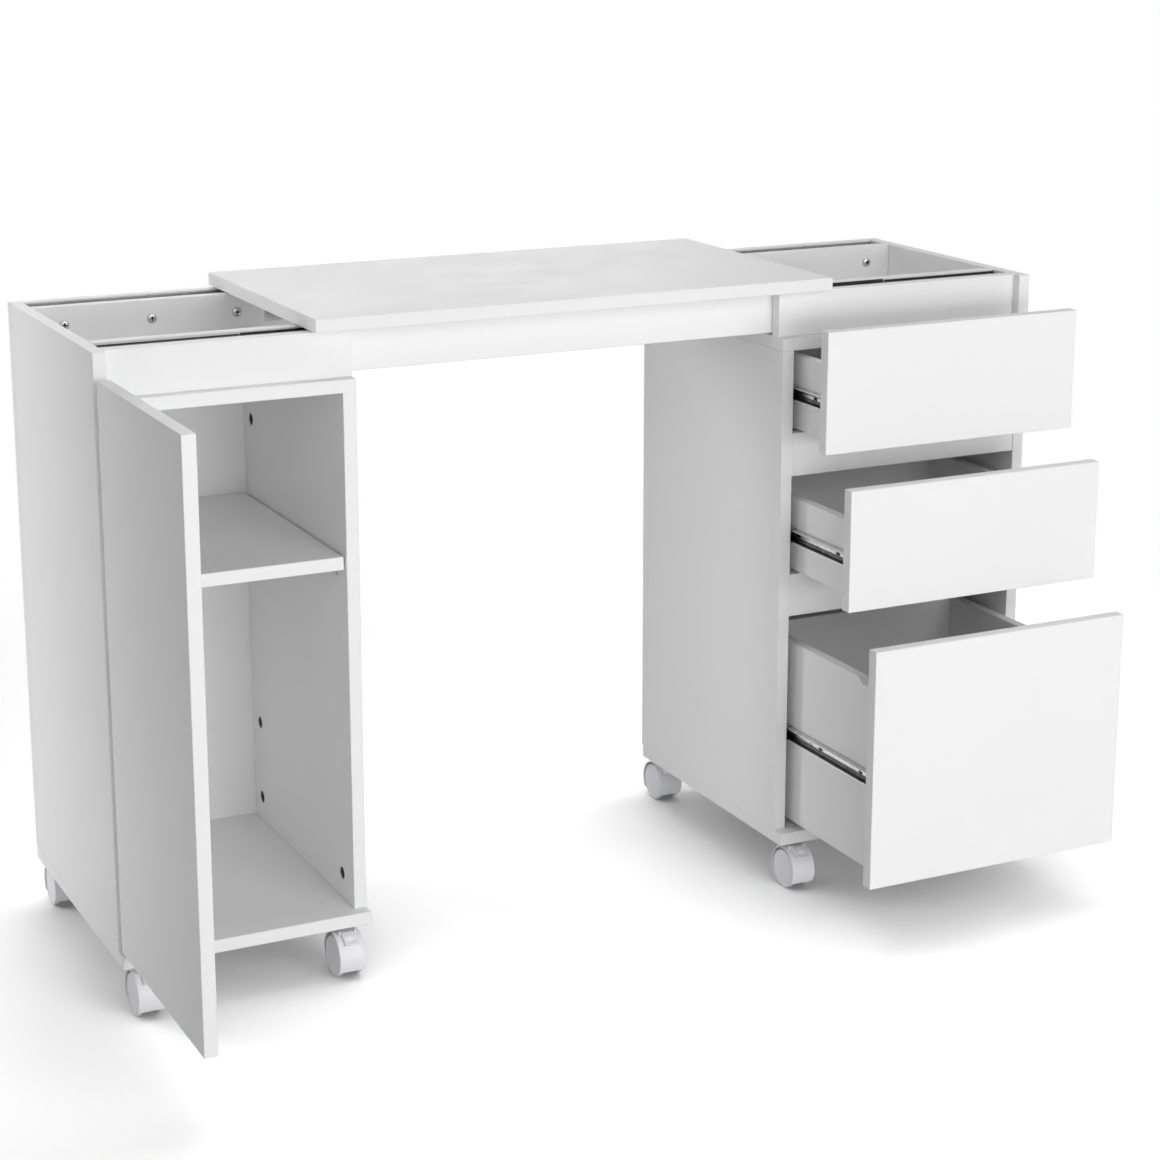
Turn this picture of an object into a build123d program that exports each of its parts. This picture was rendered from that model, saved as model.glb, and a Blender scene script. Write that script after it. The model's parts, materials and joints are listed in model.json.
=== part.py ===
from build123d import *
import os

# Extending sewing table in white melamine board. Millimetres, +Z up, +X to the right, front towards -Y.
# It stands pulled out: both cabinets drawn from under the sliding top, door open, drawers part open.

# Boards
board = 15.0
edge_ease = 0.6
drawer_board = 12.0
drawer_bottom = 4.0

# Overall sizes
table_height = 750.0
top_length = 640.0
left_width = 287.0
right_width = 345.0
cabinet_depth = 349.0

# How far each cabinet is pulled out of its closed place, and the gap left between them when closed
left_pull = 244.0
right_pull = 285.0
closed_gap = 2.0

# Top and trays
top_clearance = 1.5
top_front_overhang = 4.0
top_back_overhang = 7.0
tray_height = 51.5
apron_recess = 11.3
center_apron_floor_gap = 3.0
apron_clearance = 1.0
apron_end_clearance = 4.0
tenon_length = 40.0
tenon_thickness = 6.0
tenon_in_top = 10.0
tenon_in_apron = 14.0
tenon_fit = 0.05
tenon_spacing = 220.0

# Table slides, one pair for each cabinet, each with three nested steel channels
slide_thickness = 12.7
slide_height = 35.0
slide_top_gap = 4.0
slide_wall = 1.2
slide_play = 0.4
slide_end_gap = 1.0
left_middle_length = 230.0
left_middle_inset = 175.0
left_inner_length = 190.0
right_middle_length = 280.0
right_middle_inset = 183.0
inner_gap = 29.0

# Cabinet shells
base_lip = 15.0
base_back_recess = 3.0
shelf_below_hinge = 93.0
shelf_recess = 3.5
shelf_side_gap = 2.0
shelf_back_gap = 2.0
bracket_width = 14.0
bracket_reach = 10.0
bracket_height = 12.0
bracket_wall = 2.0
bracket_edge = 36.5

# Fronts
front_gap = 3.0
front_margin = 1.0
front_floor_gap = 2.0
grip_gap = 30.0
small_front_height = 142.0
door_free_gap = 3.0

# Door hinges: a cup in the door, an arm on the cabinet side and one pin
hinge_pin_inset = 8.0
hinge_pin_set = 12.0
hinge_pin_radius = 1.0
hinge_pin_fit = 0.05
hinge_end_distance = 127.0
cup_radius = 17.5
cup_sides = 24
cup_wall = 0.8
cup_fit = 0.05
arm_thickness = 1.6
arm_height = 8.0
arm_length = 62.0
arm_stand = 4.4
eye_radius = 1.9
eye_side_gap = 0.3
eye_floor_gap = 0.5
plate_length = 36.0
plate_height = 44.0
plate_set_back = 22.0

# Drawers
rail_height = 52.0
rail_recess = 1.0
rail_lap = 5.0
box_rail_gap = 3.0
box_base_gap = 8.0
small_box_top_gap = 8.0
tall_box_top_gap = 35.0
box_back_gap = 37.0
box_bottom_rise = 8.0
box_groove = 5.0
groove_fit = 0.1
notch_drop = 7.0
notch_length = 60.0
notch_slope = 12.0
runner_thickness = 10.0
runner_height = 17.6
runner_wall = 1.0
runner_play = 0.3
runner_back_gap = 40.0
runner_set_back = 4.0
upper_open = 79.0
middle_open = 136.0
lower_open = 196.0

# Castors
castor_height = 60.0
castor_side_inset = 27.5
castor_front_inset = 35.0
castor_rear_inset = 25.0
castor_trail = 20.0
wheel_radius = 23.5
wheel_sides = 32
hood_clearance = 1.7
hood_wall = 1.3
hood_sides = 24
hood_lift = 1.5
hood_width = 31.0
hood_mouth = 9.0
web_width = 9.0
wheel_side_gap = 0.7
wheel_recess = 0.6
axle_radius = 2.0
axle_fit = 0.05
boss_size = 18.0
boss_floor = 33.0
boss_gap = 0.3
kingpin_radius = 3.0
kingpin_fit = 0.05
kingpin_length = 15.0
kingpin_end_gap = 1.5
castor_plate_size = 38.0
castor_plate_thickness = 2.0
lever_angle = 15.0
lever_sweep = 37.0
lever_steps = 5
lever_lip_sweep = 6.0
lever_width = 16.0
lever_thickness = 2.0
lever_lip = 1.6
lever_lift = 0.7
lug_size = 5.0
lug_width = 1.8
lug_gap = 0.3
lever_pin_radius = 1.0
lever_pin_fit = 0.05

# Places along X: the whole pulled-out table is centred on the origin
total_length = left_width + right_width + closed_gap + left_pull + right_pull
left_x = -total_length / 2
left_inner_x = left_x + left_width
right_outer_x = total_length / 2
right_x = right_outer_x - right_width
top_overhang = (top_length - left_width - right_width - closed_gap) / 2
top_x = left_x + left_pull - top_overhang

# Places along Y: the open door's free edge and the rear castors' hoods reach equally far
door_width = left_width - front_margin - door_free_gap
hood_inner = wheel_radius + hood_clearance
hood_radius = hood_inner + hood_wall
door_free_reach = hinge_pin_set + door_width - (hinge_pin_inset - front_margin)
rear_swivel_reach = cabinet_depth - base_back_recess - castor_rear_inset
rear_reach = rear_swivel_reach + castor_trail + hood_radius
front_y = (door_free_reach - rear_reach) / 2
back_y = front_y + cabinet_depth
back_inner_y = back_y - board
apron_y = front_y + apron_recess
front_channel_y = apron_y + board
front_slide_y = front_channel_y + apron_clearance + board
front_batten_y = front_slide_y + slide_thickness
back_slide_y = back_inner_y - apron_clearance - board
back_batten_y = back_slide_y - slide_thickness

# Places along Z
base_top = castor_height + board
top_under = table_height - board
cabinet_top = top_under - top_clearance
tray_floor = cabinet_top - tray_height
cell_top = tray_floor - board
slide_z = (cabinet_top - slide_top_gap - slide_height, cabinet_top - slide_top_gap)
fronts_low = base_top + front_floor_gap
fronts_high = top_under - grip_gap
fronts_y = (front_y - front_gap - board, front_y - front_gap)
hinge_heights = (fronts_low + hinge_end_distance, fronts_high - hinge_end_distance)


def save(label, *pieces):
    """Labels one piece, or a group of separate pieces, and writes it as one file."""
    if len(pieces) == 1:
        shape = pieces[0].part
        shape.label = label
    else:
        shape = Compound(label=label, children=[piece.part for piece in pieces])
    export_step(shape, f"parts/{label}.step")


def middle(span):
    """The middle of a (low, high) pair."""
    return (span[0] + span[1]) / 2


def slab(x, y, z, ease=edge_ease):
    """A board between (low, high) pairs on each axis, with eased edges."""
    with BuildPart() as piece:
        with BuildSketch(Plane.XY.offset(z[0])):
            with Locations((middle(x), middle(y))):
                Rectangle(x[1] - x[0], y[1] - y[0])
        extrude(amount=z[1] - z[0])
        chamfer(piece.edges(), ease)
    return piece


def bore(piece, plane, points, radius, sides, depth):
    """Many-sided blind holes into a finished piece, along the plane's normal."""
    with BuildPart() as cut:
        add(piece.part)
        with BuildSketch(plane):
            with Locations(*points):
                RegularPolygon(radius, sides, major_radius=False)
        extrude(amount=depth, mode=Mode.SUBTRACT)
    return cut


def channel(plane, web, lips, height, wall, length):
    """A C channel: its web stands at one place across the plane and its lips reach to another."""
    across = (min(web, lips), max(web, lips))
    inward = wall if lips > web else -wall
    with BuildPart() as piece:
        with BuildSketch(plane):
            with Locations((middle(across), middle(height))):
                Rectangle(across[1] - across[0], height[1] - height[0])
            with Locations((middle(across) + inward, middle(height))):
                Rectangle(across[1] - across[0], height[1] - height[0] - 2 * wall, mode=Mode.SUBTRACT)
        extrude(amount=length)
    return piece


def shrink(span, by):
    """A (low, high) pair drawn in at both ends."""
    return (span[0] + by, span[1] - by)


# Sliding top with its two aprons, held by loose tenons
apron_x = (
    left_x + left_pull + board + apron_end_clearance,
    right_outer_x - right_pull - board - apron_end_clearance,
)
top_y = (front_y - top_front_overhang, back_y + top_back_overhang)
front_apron_y = (front_slide_y - board, front_slide_y)
back_apron_y = (back_slide_y, back_slide_y + board)
center_apron_z = (tray_floor + center_apron_floor_gap, top_under)
tenon_steps = (-1, 0, 1)


def tenon_points(across):
    """Where the tenons of one apron stand."""
    return [(middle(apron_x) + step * tenon_spacing, middle(across)) for step in tenon_steps]


def mortise(piece, points, depth):
    """Pockets for tenons, cut from the joint between top and aprons into a finished board."""
    with BuildPart() as cut:
        add(piece.part)
        with BuildSketch(Plane.XY.offset(top_under)):
            with Locations(*points):
                Rectangle(tenon_length + 2 * tenon_fit, tenon_thickness + 2 * tenon_fit)
        extrude(amount=depth, mode=Mode.SUBTRACT)
    return cut


def make_tenon(point):
    """A loose tenon, half in the apron and half in the top."""
    with BuildPart() as tenon:
        with BuildSketch(Plane.XY.offset(top_under - tenon_in_apron)):
            with Locations(point):
                Rectangle(tenon_length, tenon_thickness)
        extrude(amount=tenon_in_apron + tenon_in_top)
    return tenon


def make_table_frame():
    """The top board, its aprons and the tenons between them."""
    points = tenon_points(front_apron_y) + tenon_points(back_apron_y)
    plain = slab((top_x, top_x + top_length), top_y, (top_under, table_height))
    save("tabletop", mortise(plain, points, tenon_in_top + tenon_fit))
    for name, across in (("front", front_apron_y), ("back", back_apron_y)):
        plain = slab(apron_x, across, center_apron_z)
        save(f"{name}_center_apron", mortise(plain, tenon_points(across), -tenon_in_apron - tenon_fit))
    save("apron_tenons", *[make_tenon(point) for point in points])


def slide_members(side, outer_x, middle_x, inner_x):
    """Both table slides of one cabinet: outer channels on the battens, inner ones on the aprons."""
    outers, middles, inners = [], [], []
    step = slide_wall + slide_play
    for batten, apron, way in ((front_batten_y, front_slide_y, -1), (back_batten_y, back_slide_y, 1)):
        lips = apron - way * step
        outers.append(
            channel(Plane.YZ.offset(outer_x[0]), batten, lips, slide_z, slide_wall, outer_x[1] - outer_x[0])
        )
        middles.append(
            channel(
                Plane.YZ.offset(middle_x[0]),
                batten + way * step,
                lips,
                shrink(slide_z, step),
                slide_wall,
                middle_x[1] - middle_x[0],
            )
        )
        inners.append(
            channel(
                Plane.YZ.offset(inner_x[0]),
                apron,
                batten + 2 * way * step,
                shrink(slide_z, 2 * step),
                slide_wall,
                inner_x[1] - inner_x[0],
            )
        )
    save(f"{side}_slide_outers", *outers)
    save(f"{side}_slide_middles", *middles)
    save(f"{side}_slide_inners", *inners)


def make_slides():
    """The four telescoping slides; each middle channel stands halfway along its cabinet's travel."""
    left_outer = (left_x + board + slide_end_gap, left_inner_x - slide_end_gap)
    left_middle_x = left_x + left_middle_inset
    left_inner_start = 2 * left_middle_x - left_outer[0]
    left_inner_end = left_inner_start + left_inner_length
    slide_members(
        "left",
        left_outer,
        (left_middle_x, left_middle_x + left_middle_length),
        (left_inner_start, left_inner_end),
    )
    right_outer = (right_x + slide_end_gap, right_outer_x - board - slide_end_gap)
    right_middle_x = right_outer_x - right_middle_inset
    right_inner_end = 2 * right_middle_x - right_outer[1]
    slide_members(
        "right",
        right_outer,
        (right_middle_x - right_middle_length, right_middle_x),
        (left_inner_end + inner_gap, right_inner_end),
    )


# Cabinet shells. A cabinet spans x; its tall outer side is at the left or at the right end.
shelf_top = hinge_heights[1] - shelf_below_hinge
shelf_under = shelf_top - board


def make_tray_boards(side, tray_x):
    """The fixed front apron and the two battens that carry the slides."""
    tray_z = (tray_floor, cabinet_top)
    save(
        f"{side}_tray_boards",
        slab(tray_x, (apron_y, front_channel_y), tray_z),
        slab(tray_x, (front_batten_y, front_batten_y + board), tray_z),
        slab(tray_x, (back_batten_y - board, back_batten_y), tray_z),
    )


def make_shell(side, x, outer_at_left):
    """One cabinet's boards: two sides, back, base, cell top and tray boards."""
    outer_x = (x[0], x[0] + board) if outer_at_left else (x[1] - board, x[1])
    inner_x = (x[1] - board, x[1]) if outer_at_left else (x[0], x[0] + board)
    tray_x = (outer_x[1], x[1]) if outer_at_left else (x[0], outer_x[0])
    side_y = (front_y, back_inner_y)
    save(f"{side}_outer_side", slab(outer_x, side_y, (base_top, cabinet_top)))
    save(f"{side}_inner_side", slab(inner_x, side_y, (base_top, cell_top)))
    save(f"{side}_back_panel", slab(x, (back_inner_y, back_y), (base_top, cabinet_top)))
    base_y = (front_y - base_lip, back_y - base_back_recess)
    save(f"{side}_base_panel", slab(x, base_y, (castor_height, base_top)))
    save(f"{side}_top_panel", slab(tray_x, side_y, (cell_top, tray_floor)))
    make_tray_boards(side, tray_x)


def make_bracket(face, inward, bracket_y):
    """A small steel angle: one leg lies on a cabinet side, the other carries the shelf."""
    with BuildPart() as bracket:
        with BuildSketch(Plane.XZ.offset(-bracket_y)):
            with BuildLine():
                Polyline(
                    (face, shelf_under),
                    (face + inward * bracket_reach, shelf_under),
                    (face + inward * bracket_reach, shelf_under - bracket_wall),
                    (face + inward * bracket_wall, shelf_under - bracket_wall),
                    (face + inward * bracket_wall, shelf_under - bracket_height),
                    (face, shelf_under - bracket_height),
                    close=True,
                )
            make_face()
        extrude(amount=bracket_width / 2, both=True)
    return bracket


def make_shelf():
    """The loose shelf of the left cabinet, resting on four brackets."""
    cell = (left_x + board, left_inner_x - board)
    y = (front_y + shelf_recess, back_inner_y - shelf_back_gap)
    save("cabinet_shelf", slab(shrink(cell, shelf_side_gap), y, (shelf_under, shelf_top)))
    places = shrink((front_y, back_inner_y), bracket_edge)
    brackets = [make_bracket(face, way, place) for face, way in zip(cell, (1, -1)) for place in places]
    save("shelf_brackets", *brackets)


# Door, drawn open at a right angle: what lies across the closed door in Y lies across it in X here
pin_x = left_x + hinge_pin_inset
pin_y = front_y - hinge_pin_set
door_inner_x = pin_x + hinge_pin_set - front_gap
door_hinge_y = pin_y + hinge_pin_inset - front_margin
cup_chord = ((cup_radius - cup_wall) ** 2 - (arm_height / 2) ** 2) ** 0.5
cup_y = pin_y - (cup_chord - eye_radius - eye_side_gap)
cup_depth = hinge_pin_set - front_gap + eye_radius + eye_floor_gap + cup_wall
pin_offset = abs(pin_y - cup_y) + hinge_pin_radius
pin_half = ((cup_radius - cup_wall / 4) ** 2 - pin_offset**2) ** 0.5


def make_cup(height):
    """A pressed cup let into the door's inner face, with the pin held in its wall."""
    face = Plane.YZ.offset(door_inner_x)
    with BuildPart() as cup:
        with BuildSketch(face):
            with Locations((cup_y, height)):
                RegularPolygon(cup_radius, cup_sides, major_radius=False)
                RegularPolygon(cup_radius - cup_wall, cup_sides, major_radius=False, mode=Mode.SUBTRACT)
        extrude(amount=-cup_depth)
        with BuildSketch(face.offset(-cup_depth)):
            with Locations((cup_y, height)):
                RegularPolygon(cup_radius, cup_sides, major_radius=False)
        extrude(amount=cup_wall)
        with BuildSketch(Plane.XY.offset(height)):
            with Locations((pin_x, pin_y)):
                Circle(hinge_pin_radius)
        extrude(amount=pin_half, both=True)
    return cup


def make_hinge_arm(height):
    """The bent arm with its eye round the pin, standing on a plate screwed to the cabinet's side."""
    side_face = left_x + board
    leg_x = (side_face + arm_stand, side_face + arm_stand + arm_thickness)
    leg_y = (pin_y - arm_thickness / 2, pin_y + arm_length)
    with BuildPart() as arm:
        with BuildSketch(Plane.XY.offset(height - arm_height / 2)):
            with Locations((middle(leg_x), middle(leg_y))):
                Rectangle(arm_thickness, leg_y[1] - leg_y[0])
            with Locations((middle((pin_x, leg_x[1])), pin_y)):
                Rectangle(leg_x[1] - pin_x, arm_thickness)
            with Locations((pin_x, pin_y)):
                Circle(eye_radius)
                Circle(hinge_pin_radius + hinge_pin_fit, mode=Mode.SUBTRACT)
        extrude(amount=arm_height)
        with BuildSketch(Plane.YZ.offset(side_face)):
            with Locations((front_y + plate_set_back + plate_length / 2, height)):
                Rectangle(plate_length, plate_height)
        extrude(amount=arm_stand)
    return arm


def make_door():
    """The door panel with two cup bores, the cups with their pins, and the arms they turn on."""
    door_y = (door_hinge_y - door_width, door_hinge_y)
    panel = slab((door_inner_x - board, door_inner_x), door_y, (fronts_low, fronts_high))
    face = Plane.YZ.offset(door_inner_x)
    points = [(cup_y, height) for height in hinge_heights]
    save("door_panel", bore(panel, face, points, cup_radius + cup_fit, cup_sides, -cup_depth - cup_fit))
    save("hinge_cups", *[make_cup(height) for height in hinge_heights])
    save("hinge_arms", *[make_hinge_arm(height) for height in hinge_heights])


# Drawers: (name, how far it stands open, front's z, box's z)
upper_front_z = (fronts_high - small_front_height, fronts_high)
middle_front_z = (upper_front_z[0] - grip_gap - small_front_height, upper_front_z[0] - grip_gap)
lower_front_z = (fronts_low, middle_front_z[0] - grip_gap)
upper_rail_z = (upper_front_z[0] + rail_lap - rail_height, upper_front_z[0] + rail_lap)
lower_rail_z = (middle_front_z[0] + rail_lap - rail_height, middle_front_z[0] + rail_lap)
upper_box_low = upper_rail_z[1] + box_rail_gap
middle_box_low = lower_rail_z[1] + box_rail_gap
lower_box_low = base_top + box_base_gap
small_box_height = cell_top - small_box_top_gap - upper_box_low
lower_box_high = lower_rail_z[0] - tall_box_top_gap
box_length = cabinet_depth - board + front_gap - box_back_gap
runner_length = cabinet_depth - board - runner_set_back - runner_back_gap
drawers = [
    ("upper", upper_open, upper_front_z, (upper_box_low, upper_box_low + small_box_height)),
    ("middle", middle_open, middle_front_z, (middle_box_low, middle_box_low + small_box_height)),
    ("lower", lower_open, lower_front_z, (lower_box_low, lower_box_high)),
]
cell_x = (right_x + board, right_outer_x - board)
box_x = shrink(cell_x, runner_thickness)


def runner_z(box_z):
    """The drawer runners' height, at the middle of the box's sides."""
    return (middle(box_z) - runner_height / 2, middle(box_z) + runner_height / 2)


def make_box_side(x, y, z, groove_face, inward, notched):
    """A drawer side with a groove for the bottom; a tall one drops a little near the front."""
    groove_z = (z[0] + box_bottom_rise - groove_fit, z[0] + box_bottom_rise + drawer_bottom + groove_fit)
    with BuildPart() as piece:
        add(slab(x, y, z).part)
        with BuildSketch(Plane.YZ.offset(groove_face)):
            with Locations((middle(y), middle(groove_z))):
                Rectangle(y[1] - y[0], groove_z[1] - groove_z[0])
        extrude(amount=-inward * (box_groove + groove_fit), mode=Mode.SUBTRACT)
        if notched:
            with BuildSketch(Plane.YZ.offset(x[0])):
                with BuildLine():
                    Polyline(
                        (y[0], z[1]),
                        (y[0], z[1] - notch_drop),
                        (y[0] + notch_length - notch_slope, z[1] - notch_drop),
                        (y[0] + notch_length, z[1]),
                        close=True,
                    )
                make_face()
            extrude(amount=x[1] - x[0], mode=Mode.SUBTRACT)
    return piece


def make_drawer(name, open_by, front_z, box_z):
    """One drawer: its front, the box's sides, back and bottom, and the inner halves of its runners."""
    shift = -open_by
    front_x = shrink((right_x, right_outer_x), front_margin)
    save(f"{name}_drawer_front", slab(front_x, (fronts_y[0] + shift, fronts_y[1] + shift), front_z))
    y = (fronts_y[1] + shift, fronts_y[1] + shift + box_length)
    left_side = (box_x[0], box_x[0] + drawer_board)
    right_side = (box_x[1] - drawer_board, box_x[1])
    tall = name == "lower"
    bottom_z = (box_z[0] + box_bottom_rise, box_z[0] + box_bottom_rise + drawer_bottom)
    bottom_x = (left_side[1] - box_groove, right_side[0] + box_groove)
    save(
        f"{name}_drawer_box",
        make_box_side(left_side, y, box_z, left_side[1], 1, tall),
        make_box_side(right_side, y, box_z, right_side[0], -1, tall),
        slab((left_side[1], right_side[0]), (y[1] - drawer_board, y[1]), (bottom_z[1], box_z[1])),
        slab(bottom_x, y, bottom_z),
    )
    save(f"{name}_drawer_runners", *drawer_runners(box_z, shift, moving=True))


def drawer_runners(box_z, shift, moving):
    """The two channels of a drawer's runners: those on the box, or those fixed to the cabinet's sides."""
    pieces = []
    step = runner_wall + runner_play
    height = shrink(runner_z(box_z), step) if moving else runner_z(box_z)
    far_y = front_y + runner_set_back + runner_length + shift
    plane = Plane.XZ.offset(-far_y)
    for cabinet_face, box_face, way in ((cell_x[0], box_x[0], 1), (cell_x[1], box_x[1], -1)):
        web, lips = (box_face, cabinet_face + way * step) if moving else (cabinet_face, box_face - way * step)
        pieces.append(channel(plane, web, lips, height, runner_wall, runner_length))
    return pieces


def make_drawers():
    """Three drawers, the rails between them and the fixed halves of their runners."""
    fixed = []
    for name, open_by, front_z, box_z in drawers:
        make_drawer(name, open_by, front_z, box_z)
        fixed += drawer_runners(box_z, 0, moving=False)
    save("drawer_runner_rails", *fixed)
    rail_y = (front_y + rail_recess, front_y + rail_recess + board)
    save("drawer_rails", *[slab(cell_x, rail_y, rail_z) for rail_z in (upper_rail_z, lower_rail_z)])


# Castors: front ones trail forwards and have brake levers, rear ones trail backwards.
# Wheels and hoods are drawn as many-sided prisms, because eight sets of true rounds get too many facets.
hood_z = wheel_radius + hood_lift
swivel_top = castor_height - castor_plate_thickness
lever_orbit = hood_radius + lever_lift + lever_thickness / 2
lever_pivot = Vector(0, lever_orbit).rotate(Axis.Z, -lever_angle) + Vector(0, hood_z)


def castor_plane(x, wheel_y, way):
    """A side view of a castor: local X points the way it trails, local Y is up."""
    return Plane(origin=(x, wheel_y, 0), x_dir=(0, way, 0), z_dir=(way, 0, 0))


def make_hood(side, x, swivel_y, braked):
    """The moulded hood: a barrel open at the floor, a middle web, the swivel boss and lugs for a lever."""
    with BuildPart() as hood:
        with BuildSketch(side):
            with Locations((0, hood_z)):
                RegularPolygon(hood_radius, hood_sides)
        extrude(amount=hood_width / 2, both=True)
        with BuildSketch(Plane.XY.offset(boss_floor)):
            with Locations((x, swivel_y)):
                Rectangle(boss_size, boss_size)
        extrude(amount=swivel_top - boss_gap - boss_floor)
        if braked:
            lug_inner = lever_width / 2 + lug_gap
            for way in (-1, 1):
                with BuildSketch(side.offset(way * lug_inner)):
                    with Locations(Location((0, hood_z), -lever_angle)):
                        with Locations((0, (lever_orbit + lug_size / 2) / 2)):
                            Rectangle(lug_size, lever_orbit + lug_size / 2)
                extrude(amount=way * lug_width)
            with BuildSketch(side):
                with Locations((lever_pivot.X, lever_pivot.Y)):
                    Circle(lever_pin_radius + lever_pin_fit)
            extrude(amount=hood_width / 2, both=True, mode=Mode.SUBTRACT)
        for way in (-1, 1):
            with BuildSketch(side.offset(way * web_width / 2)):
                with Locations((0, hood_z)):
                    RegularPolygon(hood_inner, hood_sides)
            extrude(amount=way * hood_width, mode=Mode.SUBTRACT)
        with BuildSketch(side):
            with Locations((0, hood_mouth - hood_radius)):
                Rectangle(4 * hood_radius, 2 * hood_radius)
            with Locations((0, wheel_radius)):
                Circle(axle_radius + axle_fit)
        extrude(amount=hood_width, both=True, mode=Mode.SUBTRACT)
        with BuildSketch(Plane.XY.offset(swivel_top)):
            with Locations((x, swivel_y)):
                Circle(kingpin_radius + kingpin_fit)
        extrude(amount=-kingpin_length - kingpin_end_gap, mode=Mode.SUBTRACT)
    return hood


def make_wheels(side):
    """Two wheels and the axle between them, which runs through the hood's web."""
    inner = web_width / 2 + wheel_side_gap
    outer = hood_width / 2 - wheel_recess
    with BuildPart() as wheels:
        with BuildSketch(side):
            with Locations((0, wheel_radius)):
                Circle(axle_radius)
        extrude(amount=inner, both=True)
        for way in (-1, 1):
            with BuildSketch(side.offset(way * inner)):
                with Locations((0, wheel_radius)):
                    RegularPolygon(wheel_radius, wheel_sides, major_radius=False, rotation=180 / wheel_sides)
            extrude(amount=way * (outer - inner))
    return wheels


def make_lever(side):
    """A brake pedal: a curved tab with a raised lip, on a pin between the hood's lugs."""
    near = hood_radius + lever_lift
    far = near + lever_thickness
    start = 90 - lever_angle
    end = start - lever_sweep
    lip_start = end + lever_lip_sweep
    angles = [start - lever_sweep * step / lever_steps for step in range(lever_steps + 1)]
    outside = [(far, angle) for angle in angles if angle > lip_start]
    lip = [(far, lip_start), (far + lever_lip, lip_start), (far + lever_lip, end)]
    inside = [(near, angle) for angle in reversed(angles)]
    center = Vector(0, hood_z)
    outline = [center + Vector(reach, 0).rotate(Axis.Z, angle) for reach, angle in outside + lip + inside]
    with BuildPart() as lever:
        with BuildSketch(side):
            with BuildLine():
                Polyline(*outline, close=True)
            make_face()
        extrude(amount=lever_width / 2, both=True)
        with BuildSketch(side):
            with Locations((lever_pivot.X, lever_pivot.Y)):
                Circle(lever_pin_radius)
        extrude(amount=lever_width / 2 + lug_gap + lug_width, both=True)
    return lever


def make_castor_plate(x, swivel_y):
    """The steel plate under the base, with the kingpin that the hood swivels on."""
    with BuildPart() as plate:
        with BuildSketch(Plane.XY.offset(swivel_top)):
            with Locations((x, swivel_y)):
                Rectangle(castor_plate_size, castor_plate_size)
        extrude(amount=castor_plate_thickness)
        with BuildSketch(Plane.XY.offset(swivel_top)):
            with Locations((x, swivel_y)):
                Circle(kingpin_radius)
        extrude(amount=-kingpin_length)
    return plate


def make_castors(cabinet, x):
    """Four castors under one cabinet."""
    plates = []
    for end, swivel_y, way in (
        ("front", front_y - base_lip + castor_front_inset, -1),
        ("rear", front_y + rear_swivel_reach, 1),
    ):
        for hand, castor_x in (("left", x[0] + castor_side_inset), ("right", x[1] - castor_side_inset)):
            name = f"{cabinet}_{end}_{hand}"
            side = castor_plane(castor_x, swivel_y + way * castor_trail, way)
            braked = end == "front"
            save(f"{name}_castor_hood", make_hood(side, castor_x, swivel_y, braked))
            save(f"{name}_castor_wheels", make_wheels(side))
            if braked:
                save(f"{name}_brake_lever", make_lever(side))
            plates.append(make_castor_plate(castor_x, swivel_y))
    save(f"{cabinet}_castor_plates", *plates)


os.makedirs("parts", exist_ok=True)
make_table_frame()
make_slides()
make_shell("left", (left_x, left_inner_x), True)
make_shelf()
make_door()
make_shell("right", (right_x, right_outer_x), False)
make_drawers()
make_castors("left", (left_x, left_inner_x))
make_castors("right", (right_x, right_outer_x))
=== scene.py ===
import json
import math
from collections import namedtuple
import bmesh
import bpy
from mathutils import Matrix, Vector


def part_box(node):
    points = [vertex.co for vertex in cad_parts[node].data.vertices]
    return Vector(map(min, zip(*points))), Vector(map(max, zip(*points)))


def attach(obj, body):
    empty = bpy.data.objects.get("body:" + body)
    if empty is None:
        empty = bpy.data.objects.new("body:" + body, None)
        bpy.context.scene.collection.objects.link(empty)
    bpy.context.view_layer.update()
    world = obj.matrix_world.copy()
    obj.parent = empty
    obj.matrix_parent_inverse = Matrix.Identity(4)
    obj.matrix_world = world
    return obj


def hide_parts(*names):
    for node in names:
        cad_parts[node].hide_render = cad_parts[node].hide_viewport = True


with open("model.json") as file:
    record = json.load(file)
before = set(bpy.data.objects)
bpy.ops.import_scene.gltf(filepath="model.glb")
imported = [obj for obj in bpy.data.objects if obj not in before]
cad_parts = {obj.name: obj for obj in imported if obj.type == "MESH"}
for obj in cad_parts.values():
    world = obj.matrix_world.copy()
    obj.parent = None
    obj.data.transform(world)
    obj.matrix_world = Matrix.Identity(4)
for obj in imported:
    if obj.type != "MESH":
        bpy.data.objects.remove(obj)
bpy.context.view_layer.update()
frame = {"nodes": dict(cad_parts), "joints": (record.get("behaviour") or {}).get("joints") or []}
MM = 0.001


# Shader helpers, with the colour sockets of a mix node by number

MIX_FACTOR = 0
MIX_FIRST = 6
MIX_SECOND = 7
MIX_RESULT = 2


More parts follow.
